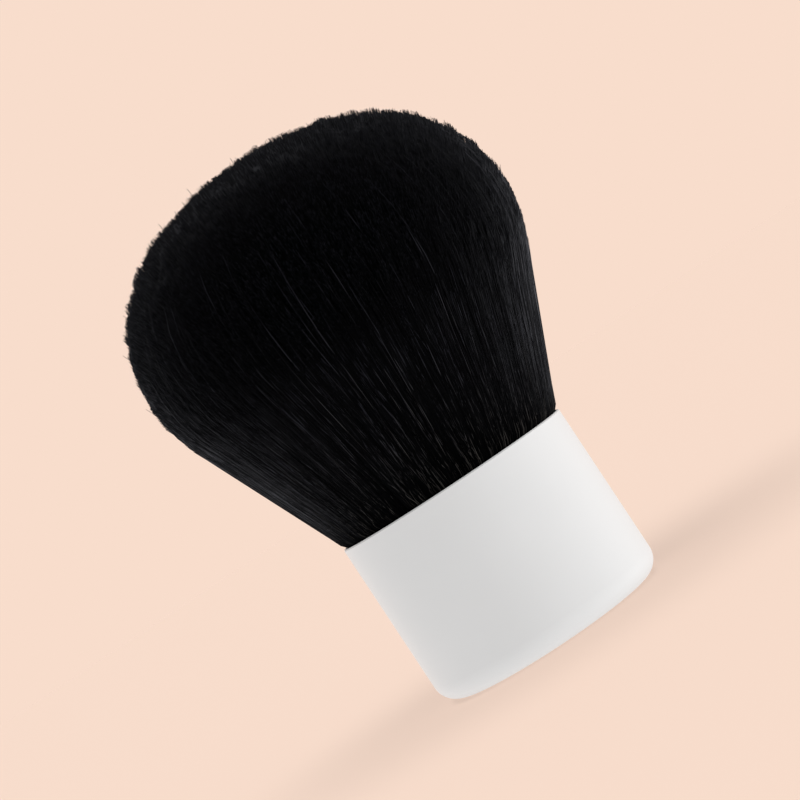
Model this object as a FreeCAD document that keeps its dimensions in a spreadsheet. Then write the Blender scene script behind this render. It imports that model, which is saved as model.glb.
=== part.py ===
"""A kabuki brush: a short drawn cup that stands on its base and holds a flared, domed knot of hair.

Lengths are in millimetres. Z is the axis of the brush, and the cup's base stands on Z = 0.
"""
import FreeCAD, Part
import math
import os
import Sketcher

# Driving sizes, each a named cell of the sheet
SIZES = {
    # The cup of the handle
    "handle_diameter": 32.0,
    "handle_height": 23.3,
    "shell_wall": 0.5,
    "base_thickness": 0.8,
    "corner_radius": 2.8,
    "rim_bevel": 0.15,
    # The moulded plug in the bottom of the cup
    "plug_height": 6.0,
    "plug_clearance": 0.1,
    "plug_wall": 1.6,
    "plug_deck": 1.8,
    "plug_hub_diameter": 7.0,
    "plug_web_thickness": 1.4,
    "plug_web_count": 6,
    "spigot_height": 3.0,
    "spigot_clearance": 0.1,
    # The ferrule that stands on the plug, and the adhesive round it
    "ferrule_wall": 0.4,
    "ferrule_setback": 0.9,
    "crimp_depth": 0.35,
    "crimp_height": 1.2,
    "adhesive_gap": 0.2,
    "adhesive_height": 7.0,
    # The resin that the roots are potted in
    "resin_floor": 1.2,
    "resin_climb": 2.6,
    "resin_meniscus": 0.4,
    # The thread that ties the roots
    "thread_diameter": 0.8,
    "thread_pitch": 1.3,
    "thread_turns": 3,
    "thread_side_count": 6,
    "thread_gap": 0.5,
    "thread_seat": 0.05,
    "thread_clearance": 0.15,
    # The knot of hair
    "hair_clearance": 0.05,
    "lip_rise": 0.8,
    "lip_overhang": 0.3,
    "widest_rise": 28.0,
    "head_diameter": 52.5,
    "hair_length": 47.7,
    "cheek_radius": 20.0,
    "dome_radius": 39.0,
    "parting_depth": 0.5,
    "parting_width": 0.3,
    "parting_count": 32,
}

# How far up the flare each row of partings runs before it comes out at the surface
PARTING_SHARES = (0.96, 0.74, 0.52)

# Radii that follow from the driving sizes, from the outside inwards
HANDLE_RADIUS = "(sizes.handle_diameter / 2)"
BORE_RADIUS = f"({HANDLE_RADIUS} - sizes.shell_wall)"
PLUG_RADIUS = f"({BORE_RADIUS} - sizes.plug_clearance)"
FERRULE_RADIUS = f"({BORE_RADIUS} - sizes.adhesive_gap)"
FERRULE_BORE = f"({FERRULE_RADIUS} - sizes.ferrule_wall)"
SPIGOT_RADIUS = f"({FERRULE_BORE} - sizes.spigot_clearance)"
ROOT_RADIUS = f"({FERRULE_BORE} - sizes.thread_clearance - sizes.thread_diameter - sizes.thread_seat)"
THREAD_RADIUS = f"({ROOT_RADIUS} + sizes.thread_seat + sizes.thread_diameter / 2)"
THROAT_RADIUS = f"({FERRULE_BORE} - sizes.hair_clearance)"
MOUTH_RADIUS = f"({BORE_RADIUS} - sizes.hair_clearance)"
LIP_RADIUS = f"({HANDLE_RADIUS} + sizes.lip_overhang)"
HEAD_RADIUS = "(sizes.head_diameter / 2)"

# The bevel inside the cup's corner, which keeps the wall there about as thick as elsewhere
FLOOR_BEVEL = "((sizes.corner_radius - sizes.base_thickness) * (2 - sqrt(2)))"

# Levels that follow from the driving sizes, from the floor of the cup to the tips of the hair
FLOOR = "sizes.base_thickness"
SHOULDER = f"({FLOOR} + sizes.plug_height)"
DECK_UNDERSIDE = f"({SHOULDER} - sizes.plug_deck)"
CRIMP_MIDDLE = f"({SHOULDER} + sizes.spigot_height / 2)"
CRIMP_FOOT = f"({CRIMP_MIDDLE} - sizes.crimp_height / 2)"
CRIMP_HEAD = f"({CRIMP_MIDDLE} + sizes.crimp_height / 2)"
SPIGOT_TOP = f"({SHOULDER} + sizes.spigot_height)"
ROOT_END = f"({SPIGOT_TOP} + sizes.resin_floor)"
RESIN_TOP = f"({ROOT_END} + sizes.resin_climb)"
THREAD_START = f"({RESIN_TOP} + sizes.thread_gap + sizes.thread_diameter / 2)"
THREAD_END = f"({THREAD_START} + sizes.thread_turns * sizes.thread_pitch)"
BINDING_TOP = f"({THREAD_END} + sizes.thread_diameter / 2 + sizes.thread_gap)"
RIM = "sizes.handle_height"
FERRULE_TOP = f"({RIM} - sizes.ferrule_setback)"
LIP = f"({RIM} + sizes.lip_rise)"
WIDEST = f"({RIM} + sizes.widest_rise)"
TIP = f"({RIM} + sizes.hair_length)"
DOME_RISE = "(sizes.hair_length - sizes.widest_rise)"

# The straight flare of the hair, which leaves the lip and meets the cheek's arc without a corner
CHEEK_ACROSS = f"({HEAD_RADIUS} - sizes.cheek_radius)"
REACH_ACROSS = f"({CHEEK_ACROSS} - {LIP_RADIUS})"
REACH_UP = f"({WIDEST} - {LIP})"
REACH = f"sqrt({REACH_ACROSS}^2 + {REACH_UP}^2)"
FLARE_ANGLE = f"(atan({REACH_ACROSS} / {REACH_UP}) + asin(sizes.cheek_radius / {REACH}))"
FLARE_LENGTH = f"sqrt({REACH}^2 - sizes.cheek_radius^2)"

# The arc of the shoulder, which is upright at the widest level and runs into the dome without a corner
SHOULDER_SPAN = f"(2 * sizes.dome_radius * {DOME_RISE} - {DOME_RISE}^2 - {HEAD_RADIUS}^2)"
SHOULDER_RADIUS = f"({SHOULDER_SPAN} / (2 * (sizes.dome_radius - {HEAD_RADIUS})))"
SHOULDER_ACROSS = f"({HEAD_RADIUS} - {SHOULDER_RADIUS})"

# How a sketch numbers its axes, and a whole edge and the points of it
ACROSS_AXIS, UP_AXIS = range(-1, -3, -1)
WHOLE, START, END, MIDDLE = range(4)

# A radius or a level of nothing
ON_AXIS = "0"

# How close two radii or levels are when they are the same
MATCH = 1e-5

doc = FreeCAD.newDocument("kabuki_brush")
sheet = doc.addObject("Spreadsheet::Sheet", "sizes")
for row, (alias, number) in enumerate(SIZES.items(), start=1):
    sheet.set(f"A{row}", alias)
    sheet.set(f"B{row}", str(number))
    sheet.setAlias(f"B{row}", alias)
doc.recompute()


def value(expression):
    """Give what an expression on the sheet comes to."""
    return float(sheet.evalExpression(expression))


def axial_sketch(body, name):
    """Start a sketch in the XZ plane, where across is the radius and up is the level."""
    sketch = body.newObject("Sketcher::SketchObject", name)
    plane = next(item for item in body.Origin.OriginFeatures if item.Role == "XZ_Plane")
    sketch.AttachmentSupport = [(plane, "")]
    sketch.MapMode = "FlatFace"
    return sketch


def bind(sketch, constraint, expression):
    """Add a measured constraint and tie it to the sheet."""
    index = sketch.addConstraint(constraint)
    sketch.setExpression(f"Constraints[{index}]", expression)


def place(sketch, line, end, across, up):
    """Hold one point of a sketch at a radius and a level."""
    if across == ON_AXIS:
        sketch.addConstraint(Sketcher.Constraint("PointOnObject", line, end, UP_AXIS))
    else:
        measure = Sketcher.Constraint("DistanceX", ACROSS_AXIS, START, line, end, value(across))
        bind(sketch, measure, across)
    if up == ON_AXIS:
        sketch.addConstraint(Sketcher.Constraint("PointOnObject", line, end, ACROSS_AXIS))
    else:
        measure = Sketcher.Constraint("DistanceY", ACROSS_AXIS, START, line, end, value(up))
        bind(sketch, measure, up)


def point(across, up):
    """Give the sketch point at a radius and a level."""
    return FreeCAD.Vector(value(across), value(up), 0)


def outline(body, name, corners):
    """Draw a closed outline of straight lines through (radius, level) corners."""
    sketch = axial_sketch(body, name)
    points = [point(*corner) for corner in corners]
    for first, second in zip(points, points[1:] + points[:1]):
        sketch.addGeometry(Part.LineSegment(first, second))
    for line, corner in enumerate(corners):
        before = (line - 1) % len(corners)
        sketch.addConstraint(Sketcher.Constraint("Coincident", before, END, line, START))
        place(sketch, line, START, *corner)
    return sketch


def turn(body, sketch):
    """Revolve a sketch once round the axis."""
    turned = body.newObject("PartDesign::Revolution", f"{body.Label}_turned")
    turned.Profile = sketch
    turned.ReferenceAxis = (sketch, ["V_Axis"])
    turned.Angle = 360
    doc.recompute()


def turned_body(name, corners):
    """Make a body by revolving an outline of straight lines."""
    body = doc.addObject("PartDesign::Body", name)
    turn(body, outline(body, f"{name}_outline", corners))
    return body


def dress_rings(body, kind, name, size, rings):
    """Fillet or chamfer the round edges of a body that lie at the given (radius, level) rings."""
    base = body.Tip
    wanted = [(value(across), value(up)) for across, up in rings]
    edges = []
    for number, edge in enumerate(base.Shape.Edges, start=1):
        if not isinstance(edge.Curve, Part.Circle):
            continue
        for ring_radius, level in wanted:
            same_radius = abs(edge.Curve.Radius - ring_radius) < MATCH
            same_level = abs(edge.Curve.Center.z - level) < MATCH
            if same_radius and same_level:
                edges.append(f"Edge{number}")
    dressing = body.newObject(f"PartDesign::{kind}", name)
    dressing.Base = (base, edges)
    dressing.setExpression("Radius" if kind == "Fillet" else "Size", size)
    doc.recompute()


def repeat_round(body, feature, sketch, count):
    """Repeat a feature evenly round the axis."""
    pattern = body.newObject("PartDesign::PolarPattern", f"{feature.Label}_round")
    pattern.Originals = [feature]
    pattern.Axis = (sketch, ["V_Axis"])
    pattern.Angle = 360
    pattern.setExpression("Occurrences", count)
    body.Tip = pattern
    doc.recompute()


def make_handle_shell():
    """The cup: thin drawn wall, closed flat base, rounded base corner and a bevelled rim."""
    shell = turned_body("handle_shell", [
        (ON_AXIS, ON_AXIS),
        (HANDLE_RADIUS, ON_AXIS),
        (HANDLE_RADIUS, RIM),
        (BORE_RADIUS, RIM),
        (BORE_RADIUS, FLOOR),
        (ON_AXIS, FLOOR),
    ])
    dress_rings(shell, "Fillet", "shell_corner", "sizes.corner_radius", [(HANDLE_RADIUS, ON_AXIS)])
    dress_rings(shell, "Chamfer", "shell_floor_corner", FLOOR_BEVEL, [(BORE_RADIUS, FLOOR)])
    rim_rings = [(HANDLE_RADIUS, RIM), (BORE_RADIUS, RIM)]
    dress_rings(shell, "Chamfer", "shell_rim", "sizes.rim_bevel", rim_rings)
    return shell


def make_core_plug():
    """The moulded plug: a deck on a skirt that clears the cup's corner, with a hub, webs and a spigot."""
    skirt_bore = f"({PLUG_RADIUS} - sizes.plug_wall)"
    hub_radius = "(sizes.plug_hub_diameter / 2)"
    web_foot = f"({FLOOR} + {FLOOR_BEVEL})"
    plug = turned_body("core_plug", [
        (ON_AXIS, SPIGOT_TOP),
        (SPIGOT_RADIUS, SPIGOT_TOP),
        (SPIGOT_RADIUS, CRIMP_HEAD),
        (f"({SPIGOT_RADIUS} - sizes.crimp_depth)", CRIMP_MIDDLE),
        (SPIGOT_RADIUS, CRIMP_FOOT),
        (SPIGOT_RADIUS, SHOULDER),
        (PLUG_RADIUS, SHOULDER),
        (PLUG_RADIUS, web_foot),
        (f"({PLUG_RADIUS} - {FLOOR_BEVEL})", FLOOR),
        (skirt_bore, FLOOR),
        (skirt_bore, DECK_UNDERSIDE),
        (hub_radius, DECK_UNDERSIDE),
        (hub_radius, web_foot),
        (ON_AXIS, web_foot),
    ])
    skirt_middle = f"({PLUG_RADIUS} - sizes.plug_wall / 2)"
    web_sketch = outline(plug, "plug_web_outline", [
        (ON_AXIS, web_foot),
        (skirt_middle, web_foot),
        (skirt_middle, SHOULDER),
        (ON_AXIS, SHOULDER),
    ])
    web = plug.newObject("PartDesign::Pad", "plug_web")
    web.Profile = web_sketch
    web.SideType = "Symmetric"
    web.setExpression("Length", "sizes.plug_web_thickness")
    doc.recompute()
    repeat_round(plug, web, web_sketch, "sizes.plug_web_count")
    return plug


def make_ferrule_sleeve():
    """The ferrule: a thin tube that stands on the plug and is crimped into the spigot's groove."""
    return turned_body("ferrule_sleeve", [
        (FERRULE_BORE, SHOULDER),
        (FERRULE_RADIUS, SHOULDER),
        (FERRULE_RADIUS, CRIMP_FOOT),
        (f"({FERRULE_RADIUS} - sizes.crimp_depth)", CRIMP_MIDDLE),
        (FERRULE_RADIUS, CRIMP_HEAD),
        (FERRULE_RADIUS, FERRULE_TOP),
        (FERRULE_BORE, FERRULE_TOP),
        (FERRULE_BORE, CRIMP_HEAD),
        (f"({FERRULE_BORE} - sizes.crimp_depth)", CRIMP_MIDDLE),
        (FERRULE_BORE, CRIMP_FOOT),
    ])


def make_adhesive_ring():
    """The cured adhesive that fills the fit between ferrule and cup, above the crimp."""
    band_top = f"({SPIGOT_TOP} + sizes.adhesive_height)"
    return turned_body("adhesive_ring", [
        (FERRULE_RADIUS, SPIGOT_TOP),
        (BORE_RADIUS, SPIGOT_TOP),
        (BORE_RADIUS, band_top),
        (FERRULE_RADIUS, band_top),
    ])


def make_resin_plug():
    """The cured resin: a floor under the roots and a wall that climbs between them and the ferrule."""
    return turned_body("resin_plug", [
        (ON_AXIS, SPIGOT_TOP),
        (FERRULE_BORE, SPIGOT_TOP),
        (FERRULE_BORE, RESIN_TOP),
        (ROOT_RADIUS, f"({RESIN_TOP} - sizes.resin_meniscus)"),
        (ROOT_RADIUS, ROOT_END),
        (ON_AXIS, ROOT_END),
    ])


def arc_through(start, leaving, end):
    """Give the arc that leaves a point in a unit direction and ends at another point."""
    chord = end - start
    sideways = leaving - chord * (leaving.dot(chord) / chord.dot(chord))
    rise = chord.Length / 2 * math.tan(leaving.getAngle(chord) / 2)
    crown = start + chord / 2 + sideways.normalize() * rise
    return Part.Arc(start, crown, end).toShape()


def biarc(start, leaving, end, arriving):
    """Give two arcs that meet smoothly and run from one point and direction to another."""
    chord = end - start
    spread = 2 * (1 - leaving.dot(arriving))
    along = chord.dot(leaving + arriving)
    reach = (math.sqrt(along ** 2 + spread * chord.dot(chord)) - along) / spread
    meeting = (start + end + (leaving - arriving) * reach) / 2
    back = arc_through(end, -arriving, meeting)
    back.reverse()
    return [arc_through(start, leaving, meeting), back]


def make_binding_thread():
    """The thread: one six-sided cord wound round the roots, its path two arcs to each quarter turn."""
    radius = value(THREAD_RADIUS)
    pitch = value("sizes.thread_pitch")
    thickness = value("sizes.thread_diameter")
    quarters = round(4 * value("sizes.thread_turns"))

    def station(quarter):
        angle = quarter * math.pi / 2
        level = value(THREAD_START) + pitch * quarter / 4
        return FreeCAD.Vector(radius * math.cos(angle), radius * math.sin(angle), level)

    def heading(quarter):
        angle = quarter * math.pi / 2
        climb = pitch / (2 * math.pi)
        return FreeCAD.Vector(-radius * math.sin(angle), radius * math.cos(angle), climb).normalize()

    edges = []
    for quarter in range(quarters):
        following = quarter + 1
        edges += biarc(station(quarter), heading(quarter), station(following), heading(following))
    path = doc.addObject("Part::Feature", "thread_path")
    path.Shape = Part.Wire(edges)
    section = doc.addObject("Part::RegularPolygon", "thread_section")
    section.setExpression("Polygon", "sizes.thread_side_count")
    section.setExpression("Circumradius", "sizes.thread_diameter / 2")
    section.Placement = FreeCAD.Placement(station(0), FreeCAD.Rotation(FreeCAD.Vector(0, 0, 1), heading(0)))
    thread = doc.addObject("Part::Sweep", "binding_thread")
    thread.Sections = [section]
    thread.Spine = (path, [f"Edge{number}" for number in range(1, len(edges) + 1)])
    thread.Solid = True
    thread.Frenet = False
    doc.recompute()

    points = path.Shape.discretize(Number=len(edges) * 8 + 1)
    half_turn = len(edges) * 8 // quarters * 2
    apart = min(
        (first - second).Length
        for number, first in enumerate(points)
        for second in points[number + half_turn:]
    )
    print(f"binding thread: least gap to itself {apart - thickness:.2f} mm")
    return thread


def make_bristle_knot():
    """The hair: tied at the roots, spreading over the rim, flared to a rounded shoulder and domed."""
    knot = doc.addObject("PartDesign::Body", "bristle_knot")
    sketch = axial_sketch(knot, "knot_outline")
    corners = [
        (ON_AXIS, ROOT_END),
        (ROOT_RADIUS, ROOT_END),
        (ROOT_RADIUS, BINDING_TOP),
        (THROAT_RADIUS, FERRULE_TOP),
        (MOUTH_RADIUS, RIM),
        (LIP_RADIUS, LIP),
    ]
    points = [point(*corner) for corner in corners]
    for first, second in zip(points, points[1:]):
        sketch.addGeometry(Part.LineSegment(first, second))
    for line in range(len(points) - 1):
        place(sketch, line, START, *corners[line])
        if line:
            sketch.addConstraint(Sketcher.Constraint("Coincident", line - 1, END, line, START))

    # Two arcs meet at the widest level, the cheek below and the shoulder above, and the dome is flatter
    cheek_bend = value("sizes.cheek_radius")
    cheek_centre = point(CHEEK_ACROSS, WIDEST)
    shoulder_bend = value(SHOULDER_RADIUS)
    shoulder_centre = point(SHOULDER_ACROSS, WIDEST)
    dome_bend = value("sizes.dome_radius")
    tip = point(ON_AXIS, TIP)
    dome_centre = FreeCAD.Vector(0, tip.y - dome_bend, 0)
    dome_angle = math.atan2(shoulder_centre.y - dome_centre.y, shoulder_centre.x)
    flare_angle = math.radians(value(FLARE_ANGLE))
    cheek_circle = Part.Circle(cheek_centre, FreeCAD.Vector(0, 0, 1), cheek_bend)
    shoulder_circle = Part.Circle(shoulder_centre, FreeCAD.Vector(0, 0, 1), shoulder_bend)
    dome_circle = Part.Circle(dome_centre, FreeCAD.Vector(0, 0, 1), dome_bend)
    cheek_arc = Part.ArcOfCircle(cheek_circle, -flare_angle, 0)
    shoulder_arc = Part.ArcOfCircle(shoulder_circle, 0, dome_angle)
    dome_arc = Part.ArcOfCircle(dome_circle, dome_angle, math.pi / 2)

    flare = sketch.addGeometry(Part.LineSegment(points[-1], cheek_arc.StartPoint))
    cheek = sketch.addGeometry(cheek_arc)
    shoulder = sketch.addGeometry(shoulder_arc)
    dome = sketch.addGeometry(dome_arc)
    axis = sketch.addGeometry(Part.LineSegment(tip, points[0]))
    sketch.addConstraint(Sketcher.Constraint("Coincident", flare - 1, END, flare, START))
    place(sketch, flare, START, *corners[-1])
    place(sketch, cheek, MIDDLE, CHEEK_ACROSS, WIDEST)
    bind(sketch, Sketcher.Constraint("Radius", cheek, cheek_bend), "sizes.cheek_radius")
    bind(sketch, Sketcher.Constraint("Radius", dome, dome_bend), "sizes.dome_radius")
    sketch.addConstraint(Sketcher.Constraint("Horizontal", cheek, MIDDLE, shoulder, MIDDLE))
    sketch.addConstraint(Sketcher.Constraint("Tangent", flare, END, cheek, START))
    sketch.addConstraint(Sketcher.Constraint("Tangent", cheek, END, shoulder, START))
    sketch.addConstraint(Sketcher.Constraint("Tangent", shoulder, END, dome, START))
    sketch.addConstraint(Sketcher.Constraint("PointOnObject", dome, MIDDLE, UP_AXIS))
    sketch.addConstraint(Sketcher.Constraint("Coincident", dome, END, axis, START))
    place(sketch, axis, START, ON_AXIS, TIP)
    sketch.addConstraint(Sketcher.Constraint("Coincident", axis, END, 0, START))
    turn(knot, sketch)

    # Partings between the locks of the flare: narrow slots, each row offset from the last
    up_in_sketch = FreeCAD.Vector(0, 1, 0)
    for row, share in enumerate(PARTING_SHARES):
        whole = knot.Shape.Volume
        end_radius = f"({LIP_RADIUS} + {share} * {FLARE_LENGTH} * sin({FLARE_ANGLE}))"
        end_level = f"({LIP} + {share} * {FLARE_LENGTH} * cos({FLARE_ANGLE}))"
        parting_sketch = outline(knot, f"parting_outline_{row}", [
            (f"({LIP_RADIUS} - sizes.parting_depth)", LIP),
            (end_radius, LIP),
            (end_radius, end_level),
        ])
        offset = value(f"360 / sizes.parting_count * {row} / {len(PARTING_SHARES)}")
        turned = FreeCAD.Rotation(up_in_sketch, offset)
        parting_sketch.AttachmentOffset = FreeCAD.Placement(FreeCAD.Vector(), turned)
        parting = knot.newObject("PartDesign::Pocket", f"parting_{row}")
        parting.Profile = parting_sketch
        parting.SideType = "Symmetric"
        parting.setExpression("Length", "sizes.parting_width")
        doc.recompute()
        if not parting.Shape.Volume < whole:
            raise RuntimeError("the parting cuts no hair")
        repeat_round(knot, parting, parting_sketch, "sizes.parting_count")
    return knot


parts = [
    make_handle_shell(),
    make_core_plug(),
    make_ferrule_sleeve(),
    make_adhesive_ring(),
    make_resin_plug(),
    make_binding_thread(),
    make_bristle_knot(),
]
doc.recompute()
for item in doc.Objects:
    if "Invalid" in item.State or "Error" in item.State:
        raise RuntimeError(f"{item.Label} did not build")
for part in parts:
    if part.Shape.isNull() or not part.Shape.isValid():
        raise RuntimeError(f"{part.Label} has no valid shape")
os.makedirs("parts", exist_ok=True)
for part in parts:
    part.Shape.exportStep(f"parts/{part.Label}.step")
    print(f"{part.Label}: {len(part.Shape.Solids)} solid, {part.Shape.Volume:.1f} cubic mm")
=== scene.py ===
"""Dresses the kabuki brush: a satin white cup, a dense black head of filaments and what holds them together.

Lengths are in metres. Z is the axis of the brush, and its base stands on Z = 0.
"""
import math

import bpy
import numpy as np
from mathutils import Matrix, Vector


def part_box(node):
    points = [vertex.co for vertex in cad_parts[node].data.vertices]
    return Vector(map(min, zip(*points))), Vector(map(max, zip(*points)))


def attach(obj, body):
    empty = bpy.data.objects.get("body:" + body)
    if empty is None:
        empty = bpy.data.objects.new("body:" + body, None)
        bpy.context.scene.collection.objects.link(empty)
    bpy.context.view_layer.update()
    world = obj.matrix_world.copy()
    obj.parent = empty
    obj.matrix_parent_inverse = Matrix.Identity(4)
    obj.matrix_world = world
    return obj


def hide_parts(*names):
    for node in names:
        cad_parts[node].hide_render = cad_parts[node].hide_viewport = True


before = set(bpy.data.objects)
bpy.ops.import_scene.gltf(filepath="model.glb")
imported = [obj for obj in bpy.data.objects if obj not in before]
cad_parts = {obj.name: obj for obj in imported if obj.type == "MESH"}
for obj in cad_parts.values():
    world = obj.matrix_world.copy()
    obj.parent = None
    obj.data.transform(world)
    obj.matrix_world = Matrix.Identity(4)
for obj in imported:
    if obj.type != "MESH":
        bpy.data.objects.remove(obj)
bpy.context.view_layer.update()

MM = 0.001
FULL_TURN = 2 * math.pi
SEED = 7

# The solids that the head grows from
_, cup_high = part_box("handle_shell")
_, knot_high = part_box("bristle_knot")
CUP_RADIUS = cup_high.x
RIM = cup_high.z
HEAD_RADIUS = knot_high.x
TIP = knot_high.z

# The outline of the head: a lip just above the rim, a flare, a cheek below the widest level, a shoulder and
# a dome
LIP_RADIUS = CUP_RADIUS
LIP = RIM + 0.7 * MM
WIDEST = RIM + 28.0 * MM
CHEEK_RADIUS = 20.0 * MM
DOME_RADIUS = 39.0 * MM
OUTLINE_STEPS = 60

# Where the tips lie: none below the foot of the crown, and more and more up to where they are crowded
CROWN_FOOT = RIM + 9.0 * MM
CROWDED = RIM + 30.0 * MM

# The filaments: outer ones run the whole way from the cup, and inner ones only where their ends show.
# Real ones are about 0.1 mm thick and lie closer; these are a little coarser, so that single ones show.
OUTER_COUNT = 16000
INNER_COUNT = 80000
OUTER_SHARE = 0.95
FILAMENT_WIDTH = 0.13 * MM
WIDTH_SHARES = (0.8, 1.15)
SIDES = 3
SECTORS = 12
ROOT_SINK = 1.8 * MM
MOUTH_GAP = 0.6 * MM
INNER_LENGTH = 5.0 * MM
# Inner filaments' tone is scaled by this share, which also makes their painted highlight streaks fewer and
# dimmer
INNER_TONE_SHARE = 0.85
OUTER_STATIONS = (0.0, 0.2, 0.42, 0.64, 0.84, 1.0)
OUTER_WIDTHS = (1.0,) * 5 + (0.95, 0.8, 0.4)
INNER_STATIONS = (0.0, 0.6, 1.0)
INNER_WIDTHS = (1.0, 0.85, 0.4)

# The longest filaments lie along the outside, and end at some share of the way from the cup to the top
COMBED_COUNT = 1000
COMBED_REACH = (0.25, 0.62)
COMBED_LIFT = -0.15 * MM
COMBED_WIDTHS = (0.65,) * 8 + (0.6, 0.5, 0.25)

# How far a filament is shaded by the whole head's form, as dense hair is, and not by its own roundness
FORM_SHARE = 0.65

# The bare share along each side of a filament's cell on the bake's map
CELL_MARGIN = 0.12

# How the filaments gather into locks, and how far tips and lines stray from an even fan
LOCK_WIDTH = 1.0 * MM
LOCK_PULL = 0.85
LOCK_SHIFT_SHARE = 0.3
LOCK_TONE_SHARE = 0.1
LOCK_LIFT = 0.24 * MM
OWN_LIFT = 0.08 * MM
TIP_DROP = 0.25 * MM
STRAY_SHARE = 0.002
STRAY_LIFT = 0.5 * MM
TIP_SCATTER = 0.25 * MM
SLANT = 0.8 * MM
BOW = 0.3 * MM
SWEEP_POWER = 1.5

# Nearer to the axis than this, a filament's turn and its direction are worked out as if it lay this far away
LEAST_RADIUS = 1.0 * MM

# Painted highlight glints on the filaments: how finely they differ from one to the next, how many lie along
# one
PAINTED_GLINTS_ACROSS = 900.0
PAINTED_GLINTS_ALONG = 8.0

# The packed mass under the loose ends. Its outline takes every fourth point of the head's, and its strand is
# the tone, place along, chance and alpha that the finish reads.
CORE_DEPTH = 0.8 * MM
CORE_POINT_STEP = 4
CORE_RIDGES = 96
CORE_RIDGE_STEPS = 4
CORE_RIDGE_HEIGHT = 0.04 * MM
CORE_RIDGE_SHARES = (0.4, 1.0)
CORE_STRAND = (0.0, 0.5, 0.5, 1.0)

# The camera stands level with the brush and is rolled, so that the brush leans to the left. The roll is in
# degrees, and the lens in Blender's millimetres.
CAMERA_PLACE = (0.14 * MM, -336.2 * MM, 35.04 * MM)
CAMERA_ROLL = 33.45
CAMERA_LENS = 121.5

# The light, in shares of what makes white paper white: a fill that is stronger from below, two wide soft
# boxes beside the brush, and one over it that lights the floor alone. Directions and spreads are in degrees.
FILL_SHARE = 0.5
FILL_TILT = 0.45
RIGHT_SHARE = 0.53
RIGHT_AZIMUTH = 70
LEFT_SHARE = 0.33
LEFT_AZIMUTH = -100
SIDE_ELEVATION = 0
SIDE_SPREAD = 120
FLOOR_SHARE = 0.7
OVERHEAD_AZIMUTH = -30
OVERHEAD_ELEVATION = 82
OVERHEAD_SPREAD = 70
PAPER = "#F8DDCC"
PAPER_IN_SHADE = "#9C8B82"
FLOOR_SIZE = 3.0
FLOOR_DROP = 0.05 * MM


# Colours, nodes and meshes
def linear(code):
    """Turn an sRGB hex colour into linear red, green, blue and full alpha."""
    channels = [int(code[place:place + 2], 16) / 255 for place in (1, 3, 5)]
    light = [c / 12.92 if c <= 0.04045 else ((c + 0.055) / 1.055) ** 2.4 for c in channels]
    return (*light, 1.0)


def add_node(tree, kind, settings, inputs):
    """Add one node, give it its settings, and set or link its inputs."""
    made = tree.nodes.new(kind)
    for name, setting in settings.items():
        setattr(made, name, setting)
    for name, given in inputs.items():
        if isinstance(given, bpy.types.NodeSocket):
            tree.links.new(given, made.inputs[name])
        else:
            made.inputs[name].default_value = given
    return made


def new_material(name):
    """Start a material with an empty tree, and give both."""
    material = bpy.data.materials.new(name)
    material.use_nodes = True
    material.node_tree.nodes.clear()
    return material, material.node_tree


def add_piece(name, mesh, material):
    """Put a mesh in the scene as a piece of the head."""
    piece = bpy.data.objects.new(name, mesh)
    bpy.context.scene.collection.objects.link(piece)
    mesh.materials.append(material)
    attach(piece, "root")
    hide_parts("bristle_knot")


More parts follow.
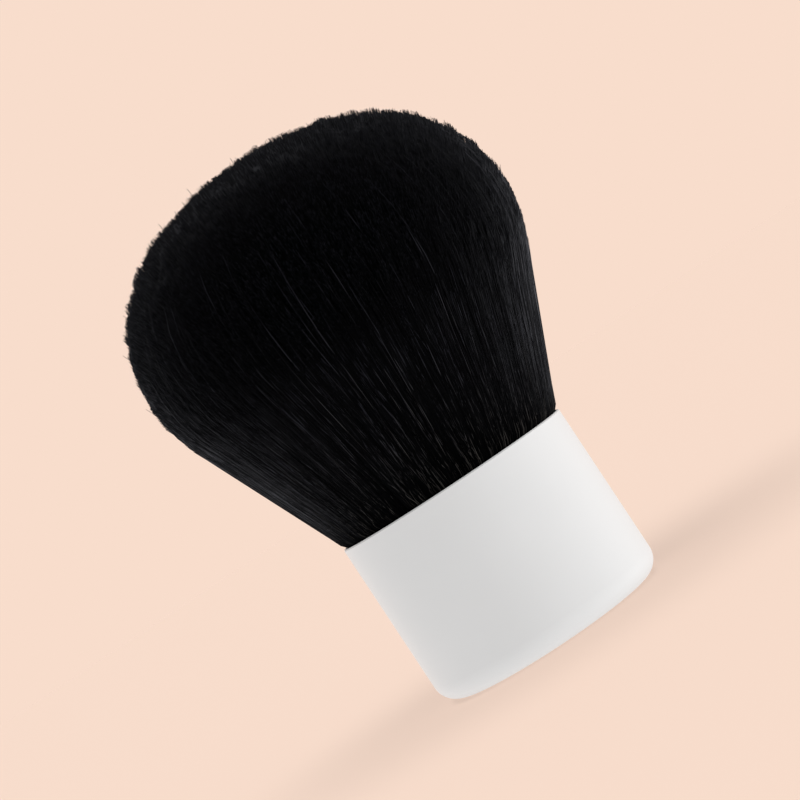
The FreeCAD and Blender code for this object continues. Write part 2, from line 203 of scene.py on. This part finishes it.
# Finishes
def black_filament():
    """Polyester filament, dyed black in the melt and drawn: near black, with broken dull glints along it,
    which are painted highlight streaks.

    Seen edge-on, the crowd of fine tips looks downy, and some cut ends carry a painted highlight, a little
    paler.
    """
    material, tree = new_material("drawn_black_polyester_filament")
    strand = add_node(tree, "ShaderNodeAttribute", {"attribute_name": "strand"}, {})
    facts = add_node(tree, "ShaderNodeSeparateColor", {}, {"Color": strand.outputs["Color"]})
    tone, along, chance = (facts.outputs[name] for name in ("Red", "Green", "Blue"))
    # Painted highlight streaks: noise broken along each filament, on the higher-toned ones, fading towards the
    # tips, in a painted highlight colour (lit) that runs from warm near the cup to cool higher up
    place = add_node(tree, "ShaderNodeCombineXYZ", {}, {"X": chance, "Y": along})
    drawn = add_node(tree, "ShaderNodeVectorMath", {"operation": "MULTIPLY"},
                     {0: place.outputs["Vector"], 1: (PAINTED_GLINTS_ACROSS, PAINTED_GLINTS_ALONG, 1.0)})
    painted_glint_noise = add_node(tree, "ShaderNodeTexNoise", {"noise_dimensions": "2D"},
                     {"Vector": drawn.outputs["Vector"], "Scale": 1.0, "Detail": 1.0})
    painted_glint_breaks = add_node(tree, "ShaderNodeMapRange", {"interpolation_type": "SMOOTHSTEP"},
                      {"Value": painted_glint_noise.outputs["Fac"], "From Min": 0.35, "From Max": 0.65})
    painted_glint_strands = add_node(tree, "ShaderNodeMapRange", {"interpolation_type": "SMOOTHSTEP"},
                     {"Value": tone, "From Min": 0.7, "From Max": 1.0})
    painted_glint_fade = add_node(tree, "ShaderNodeMapRange", {},
                      {"Value": along, "From Min": 0.0, "From Max": 0.8, "To Min": 1.0, "To Max": 0.45})
    painted_streak = add_node(tree, "ShaderNodeMath", {"operation": "MULTIPLY"},
                      {0: painted_glint_breaks.outputs["Result"], 1: painted_glint_strands.outputs["Result"]})
    painted_streak_faded = add_node(tree, "ShaderNodeMath", {"operation": "MULTIPLY"},
                     {0: painted_streak.outputs["Value"], 1: painted_glint_fade.outputs["Result"]})
    dyed = add_node(tree, "ShaderNodeMix", {"data_type": "RGBA"},
                    {0: tone, 6: linear("#010101"), 7: linear("#070708")})
    lit = add_node(tree, "ShaderNodeMix", {"data_type": "RGBA"},
                   {0: along, 6: linear("#423F3C"), 7: linear("#404049")})
    colour = add_node(tree, "ShaderNodeMix", {"data_type": "RGBA"},
                      {0: painted_streak_faded.outputs["Value"], 6: dyed.outputs[2], 7: lit.outputs[2]})
    # Painted highlight: the cut ends of some filaments are painted paler, as if they caught the light
    ended = add_node(tree, "ShaderNodeMapRange", {"interpolation_type": "SMOOTHSTEP"},
                     {"Value": along, "From Min": 0.985, "From Max": 1.0})
    painted_tip_glint = add_node(tree, "ShaderNodeMath", {"operation": "MULTIPLY"}, {0: ended.outputs["Result"], 1: chance})
    with_painted_tip_glint = add_node(tree, "ShaderNodeMix", {"data_type": "RGBA"},
                      {0: painted_tip_glint.outputs["Value"], 6: colour.outputs[2], 7: linear("#1E1E22")})
    downy = add_node(tree, "ShaderNodeMapRange", {}, {"Value": along, "To Min": 0.05, "To Max": 0.42})
    blunt = add_node(tree, "ShaderNodeMapRange", {},
                     {"Value": along, "From Min": 0.97, "From Max": 1.0, "To Min": 1.0, "To Max": 0.2})
    velvet = add_node(tree, "ShaderNodeMath", {"operation": "MULTIPLY"},
                      {0: downy.outputs["Result"], 1: blunt.outputs["Result"]})
    shader = add_node(tree, "ShaderNodeBsdfPrincipled", {},
                      {"Base Color": with_painted_tip_glint.outputs[2], "Roughness": 0.5, "IOR": 1.55,
                       "Specular IOR Level": 0.0, "Sheen Weight": velvet.outputs["Value"],
                       "Sheen Roughness": 0.4, "Sheen Tint": linear("#F0F0FA")})
    add_node(tree, "ShaderNodeOutputMaterial", {}, {"Surface": shader.outputs["BSDF"]})
    return material


def satin_white_lacquer():
    """Stoved white lacquer on drawn aluminium: even and silky, with a trace of orange peel from the spray."""
    material, tree = new_material("satin_white_stoved_lacquer")
    place = add_node(tree, "ShaderNodeTexCoord", {}, {})
    peel = add_node(tree, "ShaderNodeTexNoise", {},
                    {"Vector": place.outputs["Object"], "Scale": 1 / (0.8 * MM), "Detail": 2.0})
    bump = add_node(tree, "ShaderNodeBump", {},
                    {"Height": peel.outputs["Fac"], "Strength": 0.03, "Distance": 0.05 * MM})
    cloud = add_node(tree, "ShaderNodeTexNoise", {},
                     {"Vector": place.outputs["Object"], "Scale": 1 / (9.0 * MM), "Detail": 3.0})
    colour = add_node(tree, "ShaderNodeMix", {"data_type": "RGBA"},
                      {0: cloud.outputs["Fac"], 6: linear("#E9E9E9"), 7: linear("#EDEDED")})
    shader = add_node(tree, "ShaderNodeBsdfPrincipled", {},
                      {"Base Color": colour.outputs[2], "Roughness": 0.5, "IOR": 1.5,
                       "Normal": bump.outputs["Normal"]})
    add_node(tree, "ShaderNodeOutputMaterial", {}, {"Surface": shader.outputs["BSDF"]})
    return material


def moulded_plug_plastic():
    """ABS moulded in a spark-eroded tool: pale grey with a fine even grain."""
    material, tree = new_material("moulded_pale_abs")
    place = add_node(tree, "ShaderNodeTexCoord", {}, {})
    grain = add_node(tree, "ShaderNodeTexNoise", {},
                     {"Vector": place.outputs["Object"], "Scale": 1 / (0.25 * MM), "Detail": 3.0})
    bump = add_node(tree, "ShaderNodeBump", {},
                    {"Height": grain.outputs["Fac"], "Strength": 0.25, "Distance": 0.03 * MM})
    colour = add_node(tree, "ShaderNodeMix", {"data_type": "RGBA"},
                      {0: grain.outputs["Fac"], 6: linear("#D3D3CF"), 7: linear("#DCDCD8")})
    shader = add_node(tree, "ShaderNodeBsdfPrincipled", {},
                      {"Base Color": colour.outputs[2], "Roughness": 0.55, "IOR": 1.54,
                       "Normal": bump.outputs["Normal"]})
    add_node(tree, "ShaderNodeOutputMaterial", {}, {"Surface": shader.outputs["BSDF"]})
    return material


def drawn_ferrule_aluminium():
    """Aluminium tube, drawn through a die: bright, with fine scratches along the draw."""
    material, tree = new_material("drawn_aluminium")
    place = add_node(tree, "ShaderNodeTexCoord", {}, {})
    drawn = add_node(tree, "ShaderNodeVectorMath", {"operation": "MULTIPLY"},
                     {0: place.outputs["Object"], 1: (1 / (0.15 * MM), 1 / (0.15 * MM), 1 / (8.0 * MM))})
    lines = add_node(tree, "ShaderNodeTexNoise", {},
                     {"Vector": drawn.outputs["Vector"], "Scale": 1.0, "Detail": 3.0})
    colour = add_node(tree, "ShaderNodeMix", {"data_type": "RGBA"},
                      {0: lines.outputs["Fac"], 6: linear("#DADBDD"), 7: linear("#EBECEE")})
    rough = add_node(tree, "ShaderNodeMapRange", {},
                     {"Value": lines.outputs["Fac"], "To Min": 0.22, "To Max": 0.4})
    bump = add_node(tree, "ShaderNodeBump", {},
                    {"Height": lines.outputs["Fac"], "Strength": 0.15, "Distance": 0.02 * MM})
    shader = add_node(tree, "ShaderNodeBsdfPrincipled", {},
                      {"Base Color": colour.outputs[2], "Metallic": 1.0, "Roughness": rough.outputs["Result"],
                       "Normal": bump.outputs["Normal"]})
    add_node(tree, "ShaderNodeOutputMaterial", {}, {"Surface": shader.outputs["BSDF"]})
    return material


def cast_resin():
    """Epoxy, cast and cured: amber and glossy, clouded by fine air."""
    material, tree = new_material("cast_amber_epoxy")
    place = add_node(tree, "ShaderNodeTexCoord", {}, {})
    cloud = add_node(tree, "ShaderNodeTexNoise", {},
                     {"Vector": place.outputs["Object"], "Scale": 1 / (3.0 * MM), "Detail": 4.0})
    colour = add_node(tree, "ShaderNodeMix", {"data_type": "RGBA"},
                      {0: cloud.outputs["Fac"], 6: linear("#B8935A"), 7: linear("#D8BC88")})
    shader = add_node(tree, "ShaderNodeBsdfPrincipled", {},
                      {"Base Color": colour.outputs[2], "Roughness": 0.15, "IOR": 1.55})
    add_node(tree, "ShaderNodeOutputMaterial", {}, {"Surface": shader.outputs["BSDF"]})
    return material


def waxed_thread():
    """Linen thread, twisted and waxed: natural pale flax, ribbed by its plies, with a dull wax shine."""
    material, tree = new_material("waxed_twisted_linen")
    place = add_node(tree, "ShaderNodeTexCoord", {}, {})
    plies = add_node(tree, "ShaderNodeTexWave", {"bands_direction": "DIAGONAL"},
                     {"Vector": place.outputs["Object"], "Scale": 1 / (2.4 * MM), "Distortion": 1.5})
    colour = add_node(tree, "ShaderNodeMix", {"data_type": "RGBA"},
                      {0: plies.outputs["Fac"], 6: linear("#B9AE98"), 7: linear("#DDD5C4")})
    bump = add_node(tree, "ShaderNodeBump", {},
                    {"Height": plies.outputs["Fac"], "Strength": 0.5, "Distance": 0.08 * MM})
    shader = add_node(tree, "ShaderNodeBsdfPrincipled", {},
                      {"Base Color": colour.outputs[2], "Roughness": 0.6, "IOR": 1.45, "Sheen Weight": 0.2,
                       "Normal": bump.outputs["Normal"]})
    add_node(tree, "ShaderNodeOutputMaterial", {}, {"Surface": shader.outputs["BSDF"]})
    return material


# The shape of the head
def head_outline():
    """Give (radius, level) points of the head's outline, from the lip to the top of the dome."""
    rise = TIP - WIDEST
    span = 2 * DOME_RADIUS * rise - rise ** 2 - HEAD_RADIUS ** 2
    shoulder_radius = span / (2 * (DOME_RADIUS - HEAD_RADIUS))
    cheek = np.array([HEAD_RADIUS - CHEEK_RADIUS, WIDEST])
    shoulder = np.array([HEAD_RADIUS - shoulder_radius, WIDEST])
    dome = np.array([0.0, TIP - DOME_RADIUS])
    lip = np.array([LIP_RADIUS, LIP])
    across, up = cheek - lip
    flare = math.atan2(across, up) + math.asin(CHEEK_RADIUS / math.hypot(across, up))
    joint = math.atan2(*(shoulder - dome)[::-1])
    arcs = [
        (cheek, CHEEK_RADIUS, -flare, 0.0),
        (shoulder, shoulder_radius, 0.0, joint),
        (dome, DOME_RADIUS, joint, math.pi / 2),
    ]
    points = [np.linspace(lip, cheek + CHEEK_RADIUS * np.array([math.cos(flare), -math.sin(flare)]),
                          OUTLINE_STEPS)]
    for centre, radius, start, end in arcs:
        bend = np.linspace(start, end, OUTLINE_STEPS)[1:]
        points.append(centre + radius * np.column_stack([np.cos(bend), np.sin(bend)]))
    return np.vstack(points)


def outward(points):
    """Give the outward direction at each point of an outline that runs down from the top."""
    ahead = np.gradient(points, axis=0)
    ahead /= np.linalg.norm(ahead, axis=1, keepdims=True)
    return np.column_stack([-ahead[:, 1], ahead[:, 0]])


class Crown:
    """The part of the outline that the tips lie on, measured along it from the top of the dome."""

    def __init__(self, outline):
        points = outline[outline[:, 1] > CROWN_FOOT][::-1]
        steps = np.hypot(*np.diff(points, axis=0).T)
        self.run = np.concatenate([[0.0], np.cumsum(steps)])
        self.radii, self.levels = points.T
        self.out_across, self.out_up = outward(points).T
        self.loose = np.clip((self.levels - CROWN_FOOT) / (CROWDED - CROWN_FOOT), 0, 1)
        weight = self.radii * self.loose
        area = np.concatenate([[0.0], np.cumsum(steps * (weight[1:] + weight[:-1]) / 2)])
        self.share = np.sqrt(area / area[-1])

    def run_of(self, share):
        """Give where the tips lie of filaments whose roots are at a share of the bundle's radius."""
        return np.interp(share, self.share, self.run)

    def at(self, run, lift):
        """Give the radius and level of a place on the crown, lifted off it by some way."""
        radius = np.interp(run, self.run, self.radii) + lift * np.interp(run, self.run, self.out_across)
        level = np.interp(run, self.run, self.levels) + lift * np.interp(run, self.run, self.out_up)
        return radius, level


class Locks:
    """Small cells of the crown, each with a middle, a lift and a tone that its filaments share."""

    def __init__(self, crown, random):
        self.rings = math.ceil(crown.run[-1] / LOCK_WIDTH)
        middles = (np.arange(self.rings) + 0.5) * LOCK_WIDTH
        radii, _ = crown.at(middles, 0)
        self.counts = np.maximum(1, np.round(FULL_TURN * radii / LOCK_WIDTH)).astype(int)
        self.firsts = np.concatenate([[0], np.cumsum(self.counts)[:-1]])
        total = int(self.counts.sum())
        self.turns = random.random(self.rings)
        self.shift_run = random.normal(0, LOCK_SHIFT_SHARE, total)
        self.shift_turn = random.normal(0, LOCK_SHIFT_SHARE, total)
        self.lift = random.normal(0, LOCK_LIFT, total)
        self.tone = random.random(total)

    def of(self, run, angle):
        """Give each filament's lock, and how far away along and round the crown the lock's middle is."""
        ring = np.clip((run / LOCK_WIDTH).astype(int), 0, self.rings - 1)
        count = self.counts[ring]
        place = (angle / FULL_TURN + self.turns[ring]) % 1.0 * count
        index = np.minimum(place.astype(int), count - 1)
        lock = self.firsts[ring] + index
        off_run = (ring + 0.5 + self.shift_run[lock]) * LOCK_WIDTH - run
        off_turn = (index + 0.5 + self.shift_turn[lock] - place) / count * FULL_TURN
        return lock, off_run, off_turn


# The filaments
def filament_lines(random, crown, locks, count, shares, stations, rooted):
    """Give the middle lines of a group of filaments, with the tone, place along and chance of each point."""
    share = np.sqrt(random.uniform(shares[0] ** 2, shares[1] ** 2, count))
    angle = random.uniform(0, FULL_TURN, count)
    run = crown.run_of(share)
    lock, off_run, off_turn = locks.of(run, angle)
    pull = LOCK_PULL * random.random(count)
    tip_run = np.clip(np.abs(run + pull * off_run + random.normal(0, TIP_SCATTER, count)), 0, crown.run[-1])
    strays = random.random(count) < STRAY_SHARE
    lift = locks.lift[lock] + random.normal(0, OWN_LIFT, count)
    lift = lift + strays * np.abs(random.normal(0, STRAY_LIFT, count))
    lift = lift * np.interp(tip_run, crown.run, crown.loose) - TIP_DROP
    tip_radius, tip_level = crown.at(tip_run, lift)
    tip_turn = pull * off_turn + random.normal(0, TIP_SCATTER, count) / np.maximum(tip_radius, LEAST_RADIUS)

    lip_radius = share * LIP_RADIUS
    length = np.hypot(tip_radius - lip_radius, tip_level - LIP)
    start = np.zeros(count) if rooted else np.maximum(0, 1 - INNER_LENGTH / length)
    along = start[:, None] + (1 - start)[:, None] * np.array(stations)
    radius = lip_radius[:, None] + (tip_radius - lip_radius)[:, None] * along
    level = LIP + (tip_level - LIP)[:, None] * along
    bow = random.normal(0, BOW, count)[:, None] * np.sin(math.pi * along)
    slant = random.normal(0, SLANT, count)[:, None] * (1 - along)
    swept = tip_turn[:, None] * along ** SWEEP_POWER
    turn = angle[:, None] + swept + (bow + slant) / np.maximum(radius, LEAST_RADIUS)

    if rooted:
        mouth = share * (CUP_RADIUS - MOUTH_GAP)
        radius = np.column_stack([mouth, mouth, radius])
        level = np.column_stack([np.full(count, RIM - ROOT_SINK), np.full(count, RIM), level])
        turn = np.column_stack([turn[:, 0], turn[:, 0], turn])
        along = np.column_stack([np.zeros(count), np.zeros(count), along])
    lines = np.stack([radius * np.cos(turn), radius * np.sin(turn), level], axis=-1)
    tone = LOCK_TONE_SHARE * locks.tone[lock] + (1 - LOCK_TONE_SHARE) * random.random(count)
    if not rooted:
        tone *= INNER_TONE_SHARE
    chance = random.random(count)
    facts = np.stack(np.broadcast_arrays(tone[:, None], along, chance[:, None]), axis=-1)
    return lines, facts, angle


def combed_lines(random, outline):
    """Give the middle lines of the longest filaments, with the tone, place along and chance of each point."""
    steps = np.hypot(*np.diff(outline, axis=0).T)
    run = np.concatenate([[0.0], np.cumsum(steps)])
    across, up = outward(outline[::-1])[::-1].T
    angle = random.uniform(0, FULL_TURN, COMBED_COUNT)
    reach = random.uniform(*COMBED_REACH, COMBED_COUNT) * run[-1]
    along = np.linspace(0, 1, len(COMBED_WIDTHS))
    place = reach[:, None] * along
    lift = random.normal(COMBED_LIFT, OWN_LIFT, COMBED_COUNT)[:, None]
    radius = np.interp(place, run, outline[:, 0]) + lift * np.interp(place, run, across)
    level = np.interp(place, run, outline[:, 1]) + lift * np.interp(place, run, up)
    bow = random.normal(0, BOW, COMBED_COUNT)[:, None] * np.sin(math.pi * along)
    slant = random.normal(0, SLANT, COMBED_COUNT)[:, None] * along
    turn = angle[:, None] + (bow + slant) / radius
    lines = np.stack([radius * np.cos(turn), radius * np.sin(turn), level], axis=-1)
    tone, chance = random.random((2, COMBED_COUNT, 1))
    facts = np.stack(np.broadcast_arrays(tone, along, chance), axis=-1)
    return lines, facts, angle


def form_normals(outline, lines):
    """Give the outward direction of the head's whole form at each point."""
    across, up = outward(outline[::-1])[::-1].T
    across = np.interp(lines[..., 2], outline[:, 1], across)
    up = np.interp(lines[..., 2], outline[:, 1], up)
    reach = np.maximum(np.hypot(lines[..., 0], lines[..., 1]), LEAST_RADIUS)
    return np.stack([across * lines[..., 0] / reach, across * lines[..., 1] / reach, up], axis=-1)


def tube_corners(random, lines, widths, form):
    """Give the corners of a thin tube round each line, and the directions that they are shaded by."""
    ahead = np.gradient(lines, axis=1)
    ahead /= np.linalg.norm(ahead, axis=-1, keepdims=True)
    sideways = np.stack([-lines[..., 1], lines[..., 0], np.zeros(lines.shape[:2])], axis=-1)
    first = sideways - ahead * (sideways * ahead).sum(-1, keepdims=True)
    first /= np.linalg.norm(first, axis=-1, keepdims=True)
    second = np.cross(ahead, first)
    angles = random.uniform(0, FULL_TURN, len(lines))[:, None] + np.arange(SIDES) * FULL_TURN / SIDES
    thick = random.uniform(*WIDTH_SHARES, len(lines))[:, None] * np.array(widths) * FILAMENT_WIDTH / 2
    rings = (np.cos(angles)[:, None, :, None] * first[:, :, None, :]
             + np.sin(angles)[:, None, :, None] * second[:, :, None, :])
    shaded = FORM_SHARE * form[:, :, None, :] + (1 - FORM_SHARE) * rings
    shaded /= np.linalg.norm(shaded, axis=-1, keepdims=True)
    return lines[:, :, None, :] + thick[:, :, None, None] * rings, shaded


def tube_faces(count, rings):
    """Give the sides and the end caps of tubes that each have so many rings, as corner numbers."""
    ring = np.arange(rings - 1)[:, None] * SIDES
    corner = np.arange(SIDES)[None, :]
    following = (corner + 1) % SIDES
    after = ring + SIDES
    sides = np.stack([ring + corner, ring + following, after + following, after + corner], axis=-1)
    caps = np.stack([np.arange(SIDES)[::-1], (rings - 1) * SIDES + np.arange(SIDES)])
    base = np.arange(count)[:, None, None] * rings * SIDES
    return sides.reshape(1, -1, 4) + base, caps[None] + base


def tube_map(first, count, rings, cells):
    """Unroll each tube into a cell of its own on the bake's map."""
    near, far = CELL_MARGIN, 1 - CELL_MARGIN
    height = np.linspace(near, far, rings)
    width = np.linspace(near, far, SIDES + 1)
    low, high = height[:-1, None], height[1:, None]
    left, right = width[None, :-1], width[None, 1:]
    grid = np.broadcast_arrays(left, low, right, low, right, high, left, high)
    sides = np.stack(grid, axis=-1).reshape(-1, 4, 2)
    caps = np.array([
        [[near, near], [far, near], [0.5, near / 2]],
        [[near, far], [far, far], [0.5, 1 - near / 2]],
    ])
    number = first + np.arange(count)
    corner = np.stack([number % cells, number // cells], axis=-1)[:, None, None, :]
    return (sides[None] + corner) / cells, (caps[None] + corner) / cells


def filament_mesh(name, groups):
    """Make one mesh of several groups of tubes."""
    cells = math.ceil(math.sqrt(sum(len(corners) for corners, shaded, facts in groups)))
    points, normals, strands, loops, sizes, maps = [], [], [], [], [], []
    first_point = 0
    first_tube = 0
    for corners, shaded, facts in groups:
        count, rings = corners.shape[:2]
        for faces, places in zip(tube_faces(count, rings), tube_map(first_tube, count, rings, cells)):
            loops.append((faces + first_point).ravel())
            sizes.append(np.full(faces.shape[0] * faces.shape[1], faces.shape[2]))
            maps.append(places.ravel())
        points.append(corners.reshape(-1, 3))
        normals.append(shaded.reshape(-1, 3))
        strands.append(np.repeat(facts.reshape(-1, 3), SIDES, axis=0))
        first_point += count * rings * SIDES
        first_tube += count
    points, loops, sizes = np.concatenate(points), np.concatenate(loops), np.concatenate(sizes)

    mesh = bpy.data.meshes.new(name)
    mesh.vertices.add(len(points))
    mesh.vertices.foreach_set("co", points.astype(np.float32).ravel())
    mesh.loops.add(len(loops))
    mesh.loops.foreach_set("vertex_index", loops.astype(np.int32))
    mesh.polygons.add(len(sizes))
    mesh.polygons.foreach_set("loop_start", (np.cumsum(sizes) - sizes).astype(np.int32))
    mesh.update(calc_edges=True)
    mesh.shade_smooth()
    mesh.normals_split_custom_set_from_vertices(np.concatenate(normals))
    flat = mesh.uv_layers.new(name="OFBake")
    flat.data.foreach_set("uv", np.concatenate(maps).astype(np.float32))
    strand = mesh.color_attributes.new("strand", "FLOAT_COLOR", "POINT")
    colours = np.column_stack([np.concatenate(strands), np.ones(len(points))])
    strand.data.foreach_set("color", colours.astype(np.float32).ravel())
    return mesh


def core_mesh(outline, random):
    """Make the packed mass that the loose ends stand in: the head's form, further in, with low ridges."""
    inner = outline - CORE_DEPTH * outward(outline[::-1])[::-1]
    inner = inner[inner[:, 0] > 0][::CORE_POINT_STEP]
    throat = np.array([[inner[0, 0], RIM - ROOT_SINK]])
    profile = np.vstack([throat, inner])
    steps = CORE_RIDGES * CORE_RIDGE_STEPS
    turns = np.arange(steps) / steps * FULL_TURN
    comb = CORE_RIDGE_HEIGHT * np.cos(CORE_RIDGES * turns) * random.uniform(*CORE_RIDGE_SHARES, steps)
    radii = profile[:, :1] * (1 + comb[None, :] / HEAD_RADIUS)
    points = np.stack([radii * np.cos(turns), radii * np.sin(turns),
                       np.broadcast_to(profile[:, 1:], radii.shape)], axis=-1).reshape(-1, 3)
    rows, columns = radii.shape
    ends = np.array([[0, 0, profile[0, 1]], [0, 0, profile[-1, 1]]])
    faces = []
    for column in range(columns):
        after = (column + 1) % columns
        faces.append((rows * columns, after, column))
        faces.append((rows * columns + 1, (rows - 1) * columns + column, (rows - 1) * columns + after))
        for row in range(rows - 1):
            here = row * columns
            faces.append((here + column, here + after, here + columns + after, here + columns + column))
    mesh = bpy.data.meshes.new("bristle_core")
    mesh.from_pydata(np.vstack([points, ends]).tolist(), [], faces)
    mesh.shade_smooth()
    strand = mesh.color_attributes.new("strand", "FLOAT_COLOR", "POINT")
    strand.data.foreach_set("color", np.tile(CORE_STRAND, len(mesh.vertices)).astype(np.float32))
    return mesh


def make_head():
    """Grow the head: a packed core, and the filaments in sectors round it."""
    random = np.random.default_rng(SEED)
    outline = head_outline()
    crown = Crown(outline)
    locks = Locks(crown, random)
    material = black_filament()
    add_piece("bristle_core", core_mesh(outline, random), material)
    outer = filament_lines(random, crown, locks, OUTER_COUNT, (OUTER_SHARE, 1.0), OUTER_STATIONS, True)
    inner = filament_lines(random, crown, locks, INNER_COUNT, (0.0, OUTER_SHARE), INNER_STATIONS, False)
    combed = combed_lines(random, outline)
    tubes = []
    for group, widths in ((outer, OUTER_WIDTHS), (inner, INNER_WIDTHS), (combed, COMBED_WIDTHS)):
        lines, facts, angle = group
        corners, shaded = tube_corners(random, lines, widths, form_normals(outline, lines))
        tubes.append((corners, shaded, facts, (angle / FULL_TURN * SECTORS).astype(int)))
    for sector in range(SECTORS):
        name = f"bristle_sector_{sector + 1:02d}"
        groups = [[part[home == sector] for part in parts] for *parts, home in tubes]
        add_piece(name, filament_mesh(name, groups), material)


# Stage, light and camera
def matt_paper():
    """Plain matt paper that shows its own colour where it is lit and a duller one in shade."""
    material, tree = new_material("matt_peach_paper")
    lit, shade = np.array(linear(PAPER)), np.array(linear(PAPER_IN_SHADE))
    # A level sheet gathers the light by the cosine, which leaves two thirds of the tilt
    light_share = FILL_SHARE * (1 - FILL_TILT * 2 / 3) + FLOOR_SHARE
    gained = (lit - shade) / light_share
    glow = add_node(tree, "ShaderNodeEmission", {}, {"Color": tuple(shade), "Strength": 1.0})
    matt = add_node(tree, "ShaderNodeBsdfDiffuse", {}, {"Color": (*gained[:3], 1.0)})
    both = add_node(tree, "ShaderNodeAddShader", {}, {0: glow.outputs["Emission"], 1: matt.outputs["BSDF"]})
    add_node(tree, "ShaderNodeOutputMaterial", {}, {"Surface": both.outputs["Shader"]})
    return material


def add_floor():
    """Lay the paper floor, which only the camera sees, so that it throws no colour on the brush."""
    half = FLOOR_SIZE / 2
    mesh = bpy.data.meshes.new("floor")
    corners = [(-half, -half, 0), (half, -half, 0), (half, half, 0), (-half, half, 0)]
    mesh.from_pydata(corners, [], [(0, 1, 2, 3)])
    mesh.materials.append(matt_paper())
    floor = bpy.data.objects.new("floor", mesh)
    floor.location.z = -FLOOR_DROP
    bpy.context.scene.collection.objects.link(floor)
    for ray in ("diffuse", "glossy", "transmission", "volume_scatter", "shadow"):
        setattr(floor, f"visible_{ray}", False)
    return floor


def add_sun(name, azimuth, elevation, share, spread, floor, floor_state):
    """Add a wide distant lamp, in degrees: azimuth 0 is the camera's side and 90 the right.

    The lamp lights the floor alone or spares it, as the floor's state says.
    """
    lamp = bpy.data.lights.new(name, "SUN")
    lamp.energy = math.pi * share
    lamp.angle = math.radians(spread)
    holder = bpy.data.objects.new(name, lamp)
    holder.rotation_euler = (math.radians(90 - elevation), 0, math.radians(azimuth))
    bpy.context.scene.collection.objects.link(holder)
    linked = bpy.data.collections.new(f"{name}_linked")
    linked.objects.link(floor)
    for item in linked.collection_objects:
        item.light_linking.link_state = floor_state
    holder.light_linking.receiver_collection = linked


def add_world():
    """Fill the room with soft light, more from below than from above, and show paper behind the brush."""
    world = bpy.data.worlds.new("room")
    bpy.context.scene.world = world
    world.use_nodes = True
    tree = world.node_tree
    tree.nodes.clear()
    path = add_node(tree, "ShaderNodeLightPath", {}, {})
    mirrored = add_node(tree, "ShaderNodeMath", {"operation": "MAXIMUM"},
                        {0: path.outputs["Is Glossy Ray"], 1: path.outputs["Is Transmission Ray"]})
    shown = add_node(tree, "ShaderNodeMath", {"operation": "MAXIMUM"},
                     {0: path.outputs["Is Camera Ray"], 1: mirrored.outputs["Value"]})
    place = add_node(tree, "ShaderNodeTexCoord", {}, {})
    axes = add_node(tree, "ShaderNodeSeparateXYZ", {}, {"Vector": place.outputs["Generated"]})
    level = add_node(tree, "ShaderNodeMapRange", {},
                     {"Value": axes.outputs["Z"], "From Min": -1.0, "From Max": 1.0,
                      "To Min": FILL_SHARE * (1 + FILL_TILT), "To Max": FILL_SHARE * (1 - FILL_TILT)})
    fill = add_node(tree, "ShaderNodeBackground", {},
                    {"Color": (1, 1, 1, 1), "Strength": level.outputs["Result"]})
    seen = add_node(tree, "ShaderNodeBackground", {}, {"Color": linear(PAPER), "Strength": 1.0})
    both = add_node(tree, "ShaderNodeMixShader", {},
                    {0: shown.outputs["Value"], 1: fill.outputs[0], 2: seen.outputs[0]})
    add_node(tree, "ShaderNodeOutputWorld", {}, {"Surface": both.outputs[0]})


def add_camera():
    """Set up the view of the photograph."""
    camera = bpy.data.objects.new("camera", bpy.data.cameras.new("camera"))
    camera.data.lens = CAMERA_LENS
    camera.location = CAMERA_PLACE
    camera.rotation_euler = (math.pi / 2, math.radians(CAMERA_ROLL), 0)
    bpy.context.scene.collection.objects.link(camera)
    bpy.context.scene.camera = camera
    bpy.context.scene.view_settings.view_transform = "Standard"


make_head()
resin = cast_resin()
for node, material in (
    ("handle_shell", satin_white_lacquer()),
    ("core_plug", moulded_plug_plastic()),
    ("ferrule_sleeve", drawn_ferrule_aluminium()),
    ("adhesive_ring", resin),
    ("resin_plug", resin),
    ("binding_thread", waxed_thread()),
):
    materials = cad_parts[node].data.materials
    materials.clear()
    materials.append(material)
floor = add_floor()
add_sun("right_softbox", RIGHT_AZIMUTH, SIDE_ELEVATION, RIGHT_SHARE, SIDE_SPREAD, floor, "EXCLUDE")
add_sun("left_softbox", LEFT_AZIMUTH, SIDE_ELEVATION, LEFT_SHARE, SIDE_SPREAD, floor, "EXCLUDE")
add_sun("overhead_softbox", OVERHEAD_AZIMUTH, OVERHEAD_ELEVATION, FLOOR_SHARE, OVERHEAD_SPREAD, floor,
        "INCLUDE")
add_world()
add_camera()
